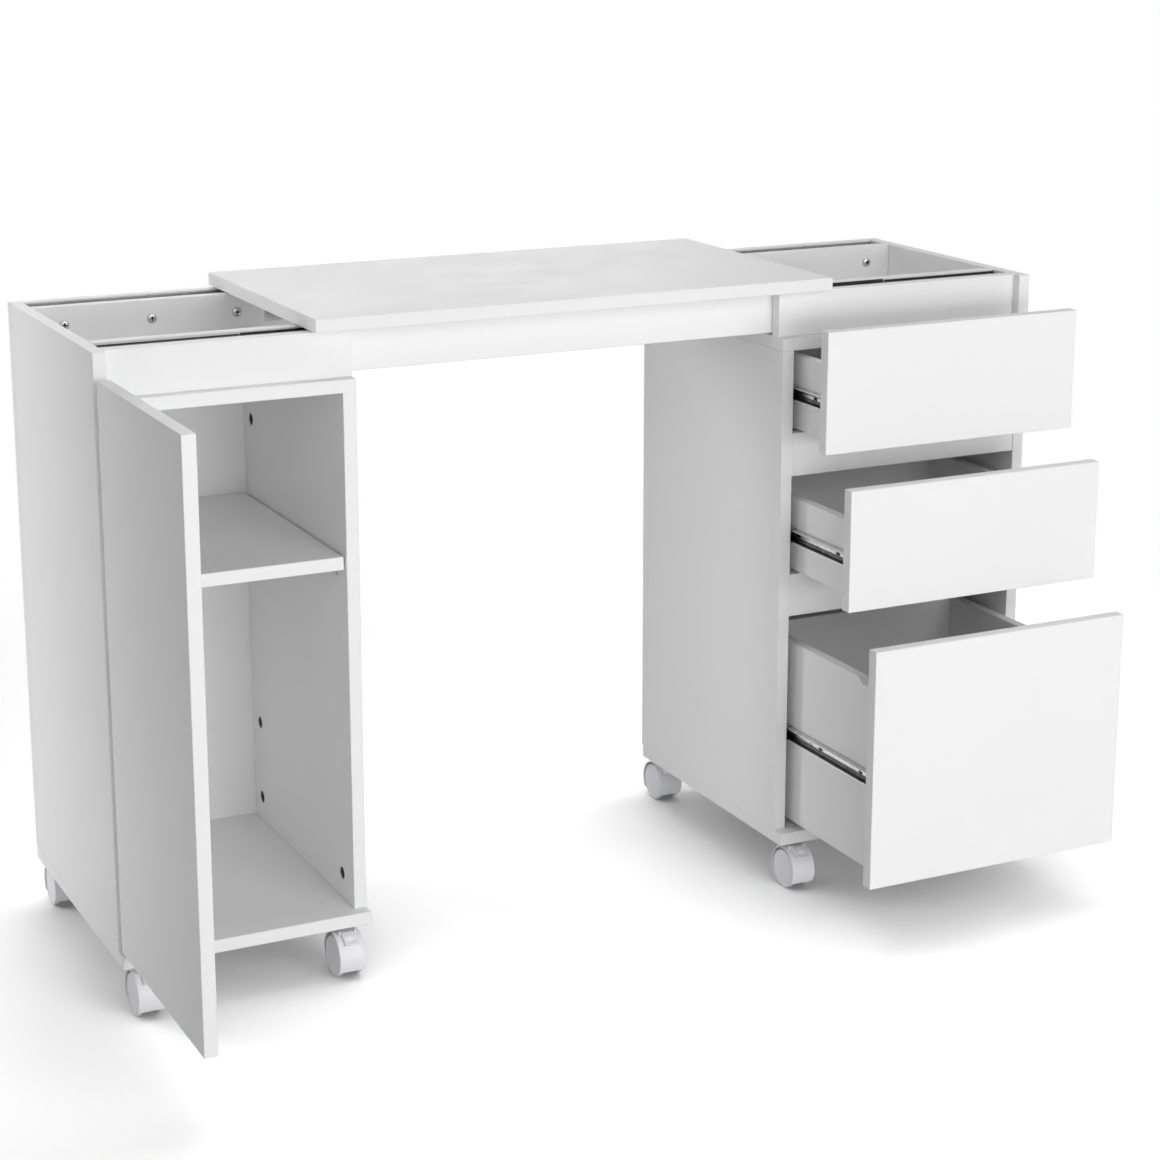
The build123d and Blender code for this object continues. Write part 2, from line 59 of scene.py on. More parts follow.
class Tree:
    """A small wrapper that makes and links shader nodes."""

    def __init__(self, tree):
        self.tree = tree
        self.tree.nodes.clear()

    def add(self, kind, values=None, **settings):
        made = self.tree.nodes.new(kind)
        for key, value in settings.items():
            setattr(made, key, value)
        for key, value in (values or {}).items():
            if isinstance(value, bpy.types.NodeSocket):
                self.tree.links.new(value, made.inputs[key])
            else:
                made.inputs[key].default_value = value
        return made

    def math(self, operation, a, b=0.0, clamp=False):
        return self.add("ShaderNodeMath", {0: a, 1: b}, operation=operation, use_clamp=clamp).outputs[0]

    def vector(self, operation, *values, output="Vector"):
        return self.add("ShaderNodeVectorMath", dict(enumerate(values)), operation=operation).outputs[output]

    def ramp(self, factor, low, high):
        """A blend between two (place, colour or grey) stops."""
        made = self.add("ShaderNodeValToRGB", {"Fac": factor})
        for end, (place, color) in zip(made.color_ramp.elements, (low, high)):
            end.position = place
            end.color = (*color, 1) if isinstance(color, tuple) else (color, color, color, 1)
        return made.outputs["Color"]

    def mix(self, factor, a, b):
        made = self.add("ShaderNodeMix", data_type="RGBA")
        for socket, value in ((MIX_FACTOR, factor), (MIX_FIRST, a), (MIX_SECOND, b)):
            if isinstance(value, bpy.types.NodeSocket):
                self.tree.links.new(value, made.inputs[socket])
            else:
                made.inputs[socket].default_value = (*value, 1) if isinstance(value, tuple) else value
        return made.outputs[MIX_RESULT]

    def coords(self, stretch=(1, 1, 1)):
        where = self.add("ShaderNodeTexCoord").outputs["Object"]
        return self.add("ShaderNodeMapping", {"Vector": where, "Scale": stretch}).outputs["Vector"]

    def noise(self, vector, scale, detail=2.0, rough=0.5):
        values = {"Vector": vector, "Scale": scale, "Detail": detail, "Roughness": rough}
        return self.add("ShaderNodeTexNoise", values).outputs["Fac"]

    def edges(self, radius, samples=6):
        """(rounded normal, 0 on flats to 1 on edges), for a radius in millimetres."""
        bevel = self.add("ShaderNodeBevel", {"Radius": radius * MM}, samples=samples).outputs["Normal"]
        flat = self.add("ShaderNodeNewGeometry").outputs["True Normal"]
        same = self.vector("DOT_PRODUCT", bevel, flat, output="Value")
        return bevel, self.math("SUBTRACT", 1.0, same, clamp=True)

    def openness(self, distance, samples):
        """0 in crevices to 1 in the open, looking so many metres around."""
        return self.add("ShaderNodeAmbientOcclusion", {"Distance": distance}, samples=samples).outputs["AO"]

    def bump(self, height, strength, depth, **over):
        """A normal bumped by a height field to a depth in millimetres."""
        values = {"Strength": strength, "Distance": depth * MM, "Height": height, **over}
        return self.add("ShaderNodeBump", values).outputs["Normal"]

    def seen(self):
        """1 for rays that show the surface in the picture, 0 for rays that only carry light."""
        path = self.add("ShaderNodeLightPath").outputs
        shown = self.math("MAXIMUM", path["Is Camera Ray"], path["Is Glossy Ray"])
        return self.math("MAXIMUM", shown, path["Is Transmission Ray"])


def material(name):
    made = bpy.data.materials.new(name)
    made.use_nodes = True
    return made, Tree(made.node_tree)


def finish_principled(tree, color, rough, normal, **constants):
    shader = tree.add("ShaderNodeBsdfPrincipled", {"Base Color": color, "Roughness": rough, "Normal": normal})
    for key, value in constants.items():
        shader.inputs[key.replace("_", " ")].default_value = value
    tree.add("ShaderNodeOutputMaterial", {"Surface": shader.outputs["BSDF"]})


# Materials

SPECK_SHARE = 0.05
SCUFF_SHARE = 0.55
STREAK_SHARE = 0.35
WORN_AND_GLINT_SHARE = 0.8
RUB_SHARE = 0.35
DUST_SHARE = 0.55
SPECK_GREY = (0.62, 0.62, 0.63)
SCUFF_GREY = (0.77, 0.765, 0.75)
# edge colour of steel: wear, and a painted edge highlight
WORN_AND_GLINT_STEEL = (0.86, 0.86, 0.85)
# black of the painted shade in steel crevices
CREVICE_SHADE_BLACK = (0.035, 0.035, 0.033)
RUBBED_PLASTIC = (0.88, 0.88, 0.89)
DUST_GREY = (0.42, 0.41, 0.40)
DARK_BEECH = (0.55, 0.38, 0.23)
PALE_BEECH = (0.74, 0.57, 0.39)
ALONG_X = (3, 700, 700)
ALONG_Y = (700, 3, 700)
ALONG_Z = (900, 900, 30)
EVERY_WAY = (260, 260, 260)


def grey(value):
    return (value, value, value)


def board_material(name, light, dark, rough, pearl):
    """Melamine board: a fine pearled press texture, slow tone drift and slightly scuffed edges."""
    made, tree = material(name)
    where = tree.coords()
    drift = tree.noise(where, scale=5.0, detail=3.0)
    grain = tree.noise(where, scale=620.0, detail=3.0, rough=0.6)
    speck = tree.noise(where, scale=2100.0, detail=1.0)
    wear = tree.noise(where, scale=55.0, detail=4.0, rough=0.7)
    sheen = tree.noise(where, scale=26.0, detail=4.0)
    rounded, edge = tree.edges(radius=0.9)
    color = tree.ramp(drift, (0.3, dark), (0.7, light))
    color = tree.mix(tree.math("MULTIPLY", speck, SPECK_SHARE), color, SPECK_GREY)
    scuff = tree.math("MULTIPLY", tree.math("MULTIPLY", edge, wear), SCUFF_SHARE, clamp=True)
    color = tree.mix(scuff, color, SCUFF_GREY)
    gloss = tree.ramp(sheen, (0.25, rough - 0.05), (0.8, rough + 0.06))
    normal = tree.bump(grain, strength=pearl, depth=0.12, Normal=rounded)
    finish_principled(tree, color, gloss, normal, Specular_IOR_Level=0.2)
    return made


def steel_material(name, stretch, light, dark, rough, worn_and_glint=WORN_AND_GLINT_STEEL, crevice=0.0):
    """Rolled steel: drawn streaks, cloudy plating, worn edges that are also brightened as a painted edge
    highlight and, if asked, painted shade that blackens narrow crevices.
    """
    made, tree = material(name)
    streak = tree.noise(tree.coords(stretch), scale=1.0, detail=4.0, rough=0.65)
    cloud = tree.noise(tree.coords(), scale=120.0, detail=4.0, rough=0.6)
    rounded, edge = tree.edges(radius=0.5)
    color = tree.ramp(cloud, (0.3, dark), (0.72, light))
    color = tree.mix(tree.math("MULTIPLY", streak, STREAK_SHARE), color, dark)
    # worn edges, brightened also as a painted edge highlight
    color = tree.mix(tree.math("MULTIPLY", edge, WORN_AND_GLINT_SHARE, clamp=True), color, worn_and_glint)
    if crevice:
        # painted shade: the openness ramp blackens narrow crevices and contact lines where shade falls
        painted_crevice_shade = tree.ramp(tree.openness(crevice * MM, samples=8), (0.45, 0.95), (0.82, 0.0))
        color = tree.mix(painted_crevice_shade, color, CREVICE_SHADE_BLACK)
    gloss = tree.ramp(streak, (0.2, rough - 0.08), (0.8, rough + 0.12))
    normal = tree.bump(streak, strength=0.25, depth=0.05, Normal=rounded)
    finish_principled(tree, color, gloss, normal, Metallic=1.0)
    return made


def tread_share(tree):
    """0 on a wheel's faces to 1 on its rim, for a wheel that turns about X."""
    local = tree.add("ShaderNodeTexCoord").outputs["Generated"]
    middle = tree.vector("SUBTRACT", local, (0.0, 0.5, 0.5))
    across = tree.vector("MULTIPLY", middle, (0.0, 1.0, 1.0))
    return tree.ramp(tree.vector("LENGTH", across, output="Value"), (0.47, 0.0), (0.497, 1.0))


def plastic_material(name, light, dark, rough, dusty=False):
    """Moulded plastic: spark-eroded skin, slight colour drift, rubbed edges and, if asked, a dusty tread."""
    made, tree = material(name)
    where = tree.coords()
    drift = tree.noise(where, scale=40.0, detail=3.0)
    skin = tree.noise(where, scale=2600.0, detail=2.0, rough=0.6)
    sheen = tree.noise(where, scale=150.0, detail=3.0)
    rounded, edge = tree.edges(radius=0.6)
    color = tree.ramp(drift, (0.3, dark), (0.7, light))
    color = tree.mix(tree.math("MULTIPLY", edge, RUB_SHARE, clamp=True), color, RUBBED_PLASTIC)
    if dusty:
        patches = tree.noise(where, scale=300.0, detail=4.0, rough=0.7)
        dust = tree.math("MULTIPLY", tread_share(tree), patches)
        color = tree.mix(tree.math("MULTIPLY", dust, DUST_SHARE), color, DUST_GREY)
    gloss = tree.ramp(sheen, (0.3, rough - 0.05), (0.75, rough + 0.08))
    normal = tree.bump(skin, strength=0.2, depth=0.06, Normal=rounded)
    finish_principled(tree, color, gloss, normal, Specular_IOR_Level=0.4)
    return made


def beech_material(name):
    """Raw beech: fine upright grain in the tenons."""
    made, tree = material(name)
    grain = tree.noise(tree.coords(ALONG_Z), scale=1.0, detail=4.0, rough=0.6)
    color = tree.ramp(grain, (0.3, DARK_BEECH), (0.7, PALE_BEECH))
    gloss = tree.ramp(grain, (0.2, 0.55), (0.8, 0.75))
    finish_principled(tree, color, gloss, tree.bump(grain, strength=0.3, depth=0.1))
    return made


white = board_material("white_melamine", grey(0.91), (0.895, 0.895, 0.897), rough=0.5, pearl=0.16)
foil = board_material("drawer_foil", grey(0.90), grey(0.88), rough=0.55, pearl=0.22)
# slide steel is darkened to paint the dark reflections and shade along the trays' slots
slide_steel = steel_material(
    "slide_steel", ALONG_X, (0.24, 0.245, 0.25), (0.11, 0.11, 0.115), rough=0.32, crevice=9.0
)
# runner steel's crevice reach paints a black contact shadow along its lips and inside its channel
runner_steel = steel_material(
    "runner_steel", ALONG_Y, (0.80, 0.80, 0.79), grey(0.58), rough=0.3, crevice=3.0
)
# cage steel is dark as painted shade inside the runners' channels
cage_shade_steel = steel_material(
    "cage_shade_steel", ALONG_Y, (0.20, 0.20, 0.195), grey(0.06), rough=0.4, worn_and_glint=grey(0.4)
)
slot_shade_steel = steel_material(
    "slot_shade_steel", ALONG_X, (0.07, 0.07, 0.072), grey(0.03), rough=0.5, worn_and_glint=grey(0.12)
)
back_slot_shade_steel = steel_material("back_slot_shade_steel", ALONG_X, grey(0.42), grey(0.30), rough=0.5)
zinc = steel_material("bright_zinc", EVERY_WAY, (0.62, 0.62, 0.61), grey(0.44), rough=0.25)
# dark zinc paints shade: in the screws' crosses, in the cam holes and in the runners' slots
shade_dark_zinc = steel_material("shade_dark_zinc", EVERY_WAY, grey(0.05), grey(0.02), rough=0.5, worn_and_glint=grey(0.1))
hood_plastic = plastic_material("castor_plastic", (0.87, 0.87, 0.885), (0.84, 0.84, 0.86), rough=0.42)
wheel_plastic = plastic_material(
    "castor_wheel", (0.86, 0.86, 0.875), (0.82, 0.82, 0.84), rough=0.45, dusty=True
)
beech = beech_material("tenon_beech")


def finish_for(node):
    """The material of a CAD node, from its name."""
    if "castor_hood" in node or "brake_lever" in node:
        return hood_plastic
    if "castor_wheels" in node:
        return wheel_plastic
    if "castor_plates" in node or node in ("hinge_arms", "hinge_cups", "shelf_brackets"):
        return zinc
    if "runner" in node:
        return runner_steel
    if "slide_" in node:
        return slide_steel
    if node == "apron_tenons":
        return beech
    if "drawer_box" in node:
        return foil
    return white


for node, thing in frame["nodes"].items():
    thing.data.materials.clear()
    thing.data.materials.append(finish_for(node))


# Places in the frame, in millimetres

Corner = namedtuple("Corner", "x y z")


def in_millimetres(place):
    return Corner(*(round(value / MM, 2) for value in place))


def box_of(node):
    """The lowest and the highest corner of a CAD node."""
    low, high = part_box(node)
    return in_millimetres(low), in_millimetres(high)


def joint_place(name):
    """Where a joint turns."""
    return next(in_millimetres(joint["pos_m"]) for joint in frame["joints"] if joint["name"] == name)


def at(place, out=(0, 0, 1)):
    """A frame at a place whose local Z points out."""
    turn = Vector(out).to_track_quat("Z", "Y").to_matrix().to_4x4()
    return Matrix.Translation(Vector(place) * MM) @ turn


# Mesh helpers

HEAD_SHARES = ((1.0, 0.0), (1.0, 0.3), (0.9, 0.7), (0.68, 1.0))
CROSS_REACH = 0.5
CROSS_HALF = 0.13
CROSS_TAPER = 0.7
CROSS_FLOOR = 0.3


def point(shape, where, x, y, z):
    """A new corner at (x, y, z) millimetres in a frame."""
    return shape.verts.new(where @ (Vector((x, y, z)) * MM))


def join(shape, low, high):
    """Faces between two closed rings of corners, or between a ring and a single corner."""
    count = max(len(low), len(high))
    for k in range(count):
        n = k + 1
        corners = [low[k % len(low)], low[n % len(low)], high[n % len(high)], high[k % len(high)]]
        shape.faces.new(list(dict.fromkeys(corners)))


def ring(shape, where, outline, height, share=1.0):
    """An outline's corners at a height in a frame, drawn in by a share."""
    return [point(shape, where, share * x, share * y, height) for x, y in outline]


def turned(shape, profile, where, sides, loop=False):
    """A turned form about the frame's Z from (radius, height) pairs. Returns its rings of corners."""
    rings = []
    for radius, height in profile:
        count = sides if radius else 1
        angles = [2 * math.pi * k / count for k in range(count)]
        outline = [(radius * math.cos(angle), radius * math.sin(angle)) for angle in angles]
        rings.append(ring(shape, where, outline, height))
    for low, high in zip(rings, rings[1:]):
        join(shape, low, high)
    if loop:
        join(shape, rings[-1], rings[0])
    return rings


def plug(radius, low, high):
    """The profile of a plain closed cylinder."""
    return [(0, low), (radius, low), (radius, high), (0, high)]


def fill_between(shape, *loops):
    """A flat face bounded by an outer loop of corners and, if given, holes."""
    border = []
    for loop in loops:
        for a, b in zip(loop, loop[1:] + loop[:1]):
            border.append(shape.edges.get((a, b)) or shape.edges.new((a, b)))
    bmesh.ops.triangle_fill(shape, edges=border, use_beauty=True)


def cross_screw(shape, where, radius, height, sides):
    """A pan head with a sunk cross, which takes the mesh's second material to paint the shade in the cross.
    """
    profile = [(a * radius, b * height) for a, b in HEAD_SHARES]
    rim = turned(shape, profile, where, sides)[-1]
    arm, half = CROSS_REACH * radius, CROSS_HALF * radius
    quarters = [Matrix.Rotation(quarter * math.pi / 2, 2) for quarter in range(4)]
    quarter_cross = [Vector(corner) for corner in ((arm, -half), (arm, half), (half, half))]
    cross = [turn @ corner for turn in quarters for corner in quarter_cross]
    upper = ring(shape, where, cross, height)
    lower = ring(shape, where, cross, CROSS_FLOOR * height, CROSS_TAPER)
    fill_between(shape, rim, upper)
    before = set(shape.faces)
    join(shape, upper, lower)
    shape.faces.new(lower)
    second_material(shape, before)


def second_material(shape, before):
    """Gives the faces that were added since to the mesh's second material."""
    for face in set(shape.faces) - before:
        face.material_index = 1


def bar(shape, near, far):
    """A closed prism between two rings of corners."""
    join(shape, near, far)
    shape.faces.new(near)
    shape.faces.new(far)


def bar_x(shape, low, high, section):
    """A prism along X between two places, from an outline of (y, z) corners."""
    bar(shape, *([point(shape, Matrix(), end, y, z) for y, z in section] for end in (low, high)))


def hull(discs, steps=72):
    """The outline drawn tight round some discs (x, y, radius)."""
    outline = []
    for k in range(steps):
        way = Vector((math.cos(2 * math.pi * k / steps), math.sin(2 * math.pi * k / steps)))
        x, y, radius = max(discs, key=lambda disc: disc[0] * way.x + disc[1] * way.y + disc[2])
        outline.append((x + radius * way.x, y + radius * way.y))
    return outline


def local_step(where, way, length):
    """A step along a world direction, as seen in a frame's own X and Y."""
    return (where.inverted().to_3x3() @ Vector(way)).to_2d() * length


def make_mesh(name, shape, *finishes, sharp=35.0):
    """A smooth mesh with sharp edges where faces meet at more than an angle."""
    bmesh.ops.recalc_face_normals(shape, faces=shape.faces)
    mesh = bpy.data.meshes.new(name)
    shape.to_mesh(mesh)
    shape.free()
    mesh.shade_smooth()
    mesh.set_sharp_from_angle(angle=math.radians(sharp))
    for finish in finishes:
        mesh.materials.append(finish)
    return mesh


def add_object(name, data):
    thing = bpy.data.objects.new(name, data)
    bpy.context.collection.objects.link(thing)
    return thing


def put_piece(name, mesh, body, where=None):
    """Puts a mesh in the row frame as a piece that rides a body."""
    thing = add_object(name, mesh)
    if where is not None:
        thing.matrix_world = where
    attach(thing, body)
    return thing


def add_piece(name, shape, finishes, body):
    """Makes a mesh of a shape and places it under the same name."""
    return put_piece(name, make_mesh(name, shape, *finishes), body)


def carved(mesh, cuts, name):
    """A copy of a mesh with other meshes cut out of it or added to it."""
    scratch = add_object(name, mesh)
    helpers = []
    for operation, tool in cuts:
        helper = add_object("tool", tool)
        step = scratch.modifiers.new("step", "BOOLEAN")
        step.operation = operation
        step.object = helper
        step.solver = "EXACT"
        helpers.append(helper)
    bpy.context.view_layer.update()
    done = bpy.data.meshes.new_from_object(scratch.evaluated_get(bpy.context.evaluated_depsgraph_get()))
    done.name = name
    for thing in [scratch] + helpers:
        bpy.data.objects.remove(thing)
    return done


# Screws in the trays' battens and in the castor plates

BOARD = 15.0
SLOT_WIDTH = 28.7
SCREW_INSET = 34.0
SCREW_DROP = 21.5
BATTEN_SCREW = {"radius": 5.8, "height": 2.8, "sides": 32}
PLATE_SCREW = {"radius": 3.2, "height": 1.4, "sides": 16}
PLATE_SCREW_STEPS = (-14.5, 14.5)
SIDES = ("left", "right")
ENDS = ("front", "rear")
HANDS = ("left", "right")


def make_screws(side):
    """The pan-head screws of one cabinet."""
    low, high = box_of(f"{side}_tray_boards")
    shape = bmesh.new()
    for y, way in ((low.y + BOARD + SLOT_WIDTH + BOARD, 1), (high.y - BOARD, -1)):
        for x in (low.x + SCREW_INSET, (low.x + high.x) / 2, high.x - SCREW_INSET):
            cross_screw(shape, at((x, y, high.z - SCREW_DROP), (0, way, 0)), **BATTEN_SCREW)
    for hand in HANDS:
        for end in ENDS:
            swivel = joint_place(f"{side}_{end}_{hand}_swivel")
            for step_x in PLATE_SCREW_STEPS:
                for step_y in PLATE_SCREW_STEPS:
                    corner = (swivel.x + step_x, swivel.y + step_y, swivel.z)
                    cross_screw(shape, at(corner, (0, 0, -1)), **PLATE_SCREW)
    add_piece(f"{side}_screws", shape, (zinc, shade_dark_zinc), f"{side}_cabinet")


for side in SIDES:
    make_screws(side)


# Cam locks, each in a round hole sunk into a cabinet side, dark as the painted shade of the hole

CAM_FRONT_INSET = 37.0
CAM_BACK_INSET = 25.0
CAM_FRONT_RISE = 30.0
CAM_BACK_RISES = (30.0, 126.0, 504.0)
CAM_HOLE_RADIUS = 7.6
CAM_HOLE_DEPTH = 12.0
CAM_HOLE_OVERSHOOT = 1.0
CAM_HOLE_SIDES = 48
CAM_SINK = 1.7
CAM_HEAD = {"radius": 7.2, "height": 1.2, "sides": 32}
CAM_BOARDS = (
    ("left_outer_side", "left_cabinet", 1),
    ("left_inner_side", "left_cabinet", -1),
    ("right_inner_side", "right_cabinet", 1),
    ("right_outer_side", "right_cabinet", -1),
)


def make_cams(node, body, way):
    """Sinks the holes into the board's face that looks along X, and sets a cam with a cross in each, dark as
    painted shade in the hole.
    """
    low, high = box_of(node)
    face = high.x if way > 0 else low.x
    places = [(low.y + CAM_FRONT_INSET, low.z + CAM_FRONT_RISE)]
    places += [(high.y - CAM_BACK_INSET, low.z + rise) for rise in CAM_BACK_RISES]
    holes = bmesh.new()
    cams = bmesh.new()
    for y, z in places:
        where = at((face, y, z), (way, 0, 0))
        turned(holes, plug(CAM_HOLE_RADIUS, CAM_HOLE_OVERSHOOT, -CAM_HOLE_DEPTH), where, CAM_HOLE_SIDES)
        cross_screw(cams, where @ Matrix.Translation((0, 0, -CAM_SINK * MM)), **CAM_HEAD)
    tool = add_object(f"{node}_holes", make_mesh(f"{node}_holes", holes, white))
    tool.hide_render = True
    tool.hide_set(True)
    sink = frame["nodes"][node].modifiers.new("cam_holes", "BOOLEAN")
    sink.object = tool
    sink.solver = "EXACT"
    # the cams are dark zinc all over, as painted shade in their holes
    add_piece(f"{node}_cams", cams, (shade_dark_zinc, shade_dark_zinc), body)


for board in CAM_BOARDS:
    make_cams(*board)


# Thin flanges of the table slides along the slots of the trays, dark and grey as the painted shade in the
# slots

FLANGE_END_GAP = 0.2
FLANGE_SEAT = 0.02
FLANGE_THICK = 0.5
FLANGE_ROUND = (0.2, 0.3)
FLANGE_FOOT_DROP = 3.9
FLANGE_SPLITS = {"left": (160.5, 162.1), "right": (169.9, 171.3)}
FLANGE_DROPS = {"left": (3.0, 2.1), "right": (0.6, 1.9)}
BACK_FLANGE_DROPS = (9.5, 1.5)


def flange_section(face_y, low_z, high_z):
    """The (y, z) outline of a thin flange on a board's face that looks towards -Y."""
    inner, outer = face_y - FLANGE_SEAT, face_y - FLANGE_THICK
    across, down = FLANGE_ROUND
    top = [(outer, high_z - down), (inner - across, high_z), (inner, high_z)]
    return [(inner, low_z), (outer, low_z)] + top


def make_slot_shade_flanges(side):
    """Two dark lengths on the front batten, which meet at a small gap, and a grey one on the back board, all
    painting the shade in the slots.
    """
    low, high = box_of(f"{side}_tray_boards")
    batten_y = low.y + BOARD + SLOT_WIDTH
    back_y = box_of(f"{side}_back_panel")[0].y
    start, end = low.x + FLANGE_END_GAP, high.x - FLANGE_END_GAP
    stop, restart = (low.x + split for split in FLANGE_SPLITS[side])
    shape = bmesh.new()
    for run, drop in zip(((start, stop), (restart, end)), FLANGE_DROPS[side]):
        bar_x(shape, *run, flange_section(batten_y, high.z - FLANGE_FOOT_DROP, high.z - drop))
    front = set(shape.faces)
    bar_x(shape, start, end, flange_section(back_y, *(high.z - drop for drop in BACK_FLANGE_DROPS)))
    second_material(shape, front)
    # black front and grey back flanges paint the shade in the slots
    finishes = (slot_shade_steel, back_slot_shade_steel)
    add_piece(f"{side}_slide_flanges", shape, finishes, f"{side}_cabinet")


for side in SIDES:
    make_slot_shade_flanges(side)


# Door hinges: round cups with a screwed flange, and the screws of the arms

HINGE_PLATE_HALF_HEIGHT = 22.0
HINGE_PLATE_HALF_LENGTH = 18.0
HINGE_ARM_THICK = 1.6
CUP_FLANGE_RADIUS = 19.6
CUP_EAR_RADIUS = 6.0
CUP_EAR_INWARD = 5.5
CUP_EAR_RISE = 24.0
CUP_FLANGE_EDGE = 0.6
CUP_FLANGE_TOP = 1.0
CUP_FLANGE_DRAW_IN = 0.985
CUP_BOWL = ((17.3, 1.0), (16.8, 0.6), (16.7, -10.4), (15.8, -11.3), (0, -11.4))
CUP_SIDES = 48
CUP_SCREW = {"radius": 3.6, "height": 0.7, "sides": 20}
HINGE_PIN_RADIUS = 1.0
HINGE_PIN_HALF = 8.4
HINGE_PIN_SIDES = 16
PLATE_HOLD_SCREW = {"radius": 3.6, "height": 1.6, "sides": 20}
PLATE_HOLD_STEPS = (-15.0, 15.0)
ARM_SET_SCREW = {"radius": 3.0, "height": 1.2, "sides": 20}
ARM_SET_STEPS = (-14.25, 3.75)

arms_low, arms_high = box_of("hinge_arms")
hinges_z = (arms_low.z + HINGE_PLATE_HALF_HEIGHT, arms_high.z - HINGE_PLATE_HALF_HEIGHT)


def make_hinge_cups():
    """Pressed cups in the door, with the pins that the arms turn on."""
    cups_low, cups_high = box_of("hinge_cups")
    door_face = box_of("door_panel")[1].x
    pin = joint_place("door_hinge")
    shape = bmesh.new()
    for z in hinges_z:
        where = at((door_face, (cups_low.y + cups_high.y) / 2, z), (1, 0, 0))
        inward = local_step(where, (0, -1, 0), CUP_EAR_INWARD)
        upward = local_step(where, (0, 0, 1), CUP_EAR_RISE)
        ears = [(inward + way * upward) for way in (-1, 1)]
        outline = hull([(0, 0, CUP_FLANGE_RADIUS)] + [(ear.x, ear.y, CUP_EAR_RADIUS) for ear in ears])
        foot = ring(shape, where, outline, 0)
        edge = ring(shape, where, outline, CUP_FLANGE_EDGE)
        top = ring(shape, where, outline, CUP_FLANGE_TOP, CUP_FLANGE_DRAW_IN)
        join(shape, foot, edge)
        join(shape, edge, top)
        mouth = turned(shape, CUP_BOWL, where, CUP_SIDES)[0]
        fill_between(shape, top, mouth)
        for ear in ears:
            seat = Matrix.Translation((ear.x * MM, ear.y * MM, CUP_FLANGE_TOP * MM))
            cross_screw(shape, where @ seat, **CUP_SCREW)
        stem = plug(HINGE_PIN_RADIUS, -HINGE_PIN_HALF, HINGE_PIN_HALF)
        turned(shape, stem, at((pin.x, pin.y, z)), HINGE_PIN_SIDES)
    faces = add_piece("hinge_cup_faces", shape, (zinc, shade_dark_zinc), "door")
    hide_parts("hinge_cups")


def make_hinge_screws():
    """The screws that hold the arms' plates, and the arms' own set screws."""
    arm_face = arms_high.x
    plate_face = arm_face - HINGE_ARM_THICK
    plate_middle = arms_high.y - HINGE_PLATE_HALF_LENGTH
    shape = bmesh.new()
    for z in hinges_z:
        for step in PLATE_HOLD_STEPS:
            cross_screw(shape, at((plate_face, plate_middle, z + step), (1, 0, 0)), **PLATE_HOLD_SCREW)
        for step in ARM_SET_STEPS:
            cross_screw(shape, at((arm_face, plate_middle + step, z), (1, 0, 0)), **ARM_SET_SCREW)
    add_piece("hinge_screws", shape, (zinc, shade_dark_zinc), "left_cabinet")


make_hinge_cups()
make_hinge_screws()


# Drawer runners: cages and slots dark as painted shade, and screws, in the moving channels

DRAWERS = ("upper", "middle", "lower")
RUNNER_WALL = 1.0
RUNNER_SCREW = {"radius": 2.6, "height": 1.3, "sides": 20}
RUNNER_SCREWS_ALONG = (22.0, 150.0)
RUNNER_SLOTS_ALONG = (10.0, 40.0, 128.0)
RUNNER_SLOT_RADIUS = 1.7
RUNNER_SLOT_HALF = 2.6
RUNNER_SLOT_SIDES = 32
RUNNER_SLOT_LIP = 0.12
RUNNER_SLOT_FLOOR = 0.05
RUNNER_SLOT_DRAW_IN = 0.86
CAGE_ENDS = (15.0, 292.0)
CAGE_SECTION = (
    (0.05, 2.0), (0.5, 2.3), (0.5, 5.2), (0.8, 5.8), (1.4, 6.1), (6.6, 6.1), (6.8, 6.25), (6.6, 6.4),
    (0.05, 6.4),
)


def add_shade_cages(shape, x, way, front_y, z):
    """The upper and the lower ball cage of one runner, dark as painted shade in the channel."""
    for up in (-1, 1):
        section = [(x + way * out, z + up * rise) for out, rise in CAGE_SECTION]
        bar(shape, *([point(shape, Matrix(), a, front_y + end, b) for a, b in section] for end in CAGE_ENDS))


def add_slot(shape, where):
    """A shallow oblong slot, long in Y, dark as the painted shade of a hole."""
    step = local_step(where, (0, 1, 0), RUNNER_SLOT_HALF)
    ends = [(way * step.x, way * step.y, RUNNER_SLOT_RADIUS) for way in (1, -1)]
    outline = hull(ends, RUNNER_SLOT_SIDES)
    foot = ring(shape, where, outline, 0)
    lip = ring(shape, where, outline, RUNNER_SLOT_LIP)
    floor = ring(shape, where, outline, RUNNER_SLOT_FLOOR, RUNNER_SLOT_DRAW_IN)
    join(shape, foot, lip)
    join(shape, lip, floor)
    shape.faces.new(floor)


def make_runner_fittings(name):
    """Ball cages and oblong slots dark as painted shade, and screws, on one drawer's pair of runners."""
    low, high = box_of(f"{name}_drawer_runners")
    box_low, box_high = box_of(f"{name}_drawer_box")
    front_y, z = low.y, (low.z + high.z) / 2
    screws = bmesh.new()
    slots = bmesh.new()
    shade_cages = bmesh.new()
    for x, way in ((box_low.x - RUNNER_WALL, -1), (box_high.x + RUNNER_WALL, 1)):
        add_shade_cages(shade_cages, x, way, front_y, z)
        for along in RUNNER_SCREWS_ALONG:
            cross_screw(screws, at((x, front_y + along, z), (way, 0, 0)), **RUNNER_SCREW)
        for along in RUNNER_SLOTS_ALONG:
            add_slot(slots, at((x, front_y + along, z), (way, 0, 0)))
    body = f"{name}_drawer"
    add_piece(f"{name}_runner_screws", screws, (zinc, shade_dark_zinc), body)
    # the slots are dark zinc as the painted shade of holes
    add_piece(f"{name}_runner_slots", slots, (shade_dark_zinc,), body)
    # the cages paint the shade inside each runner's channel
    add_piece(f"{name}_runner_shade_cages", shade_cages, (cage_shade_steel,), body)


for name in DRAWERS:
    make_runner_fittings(name)


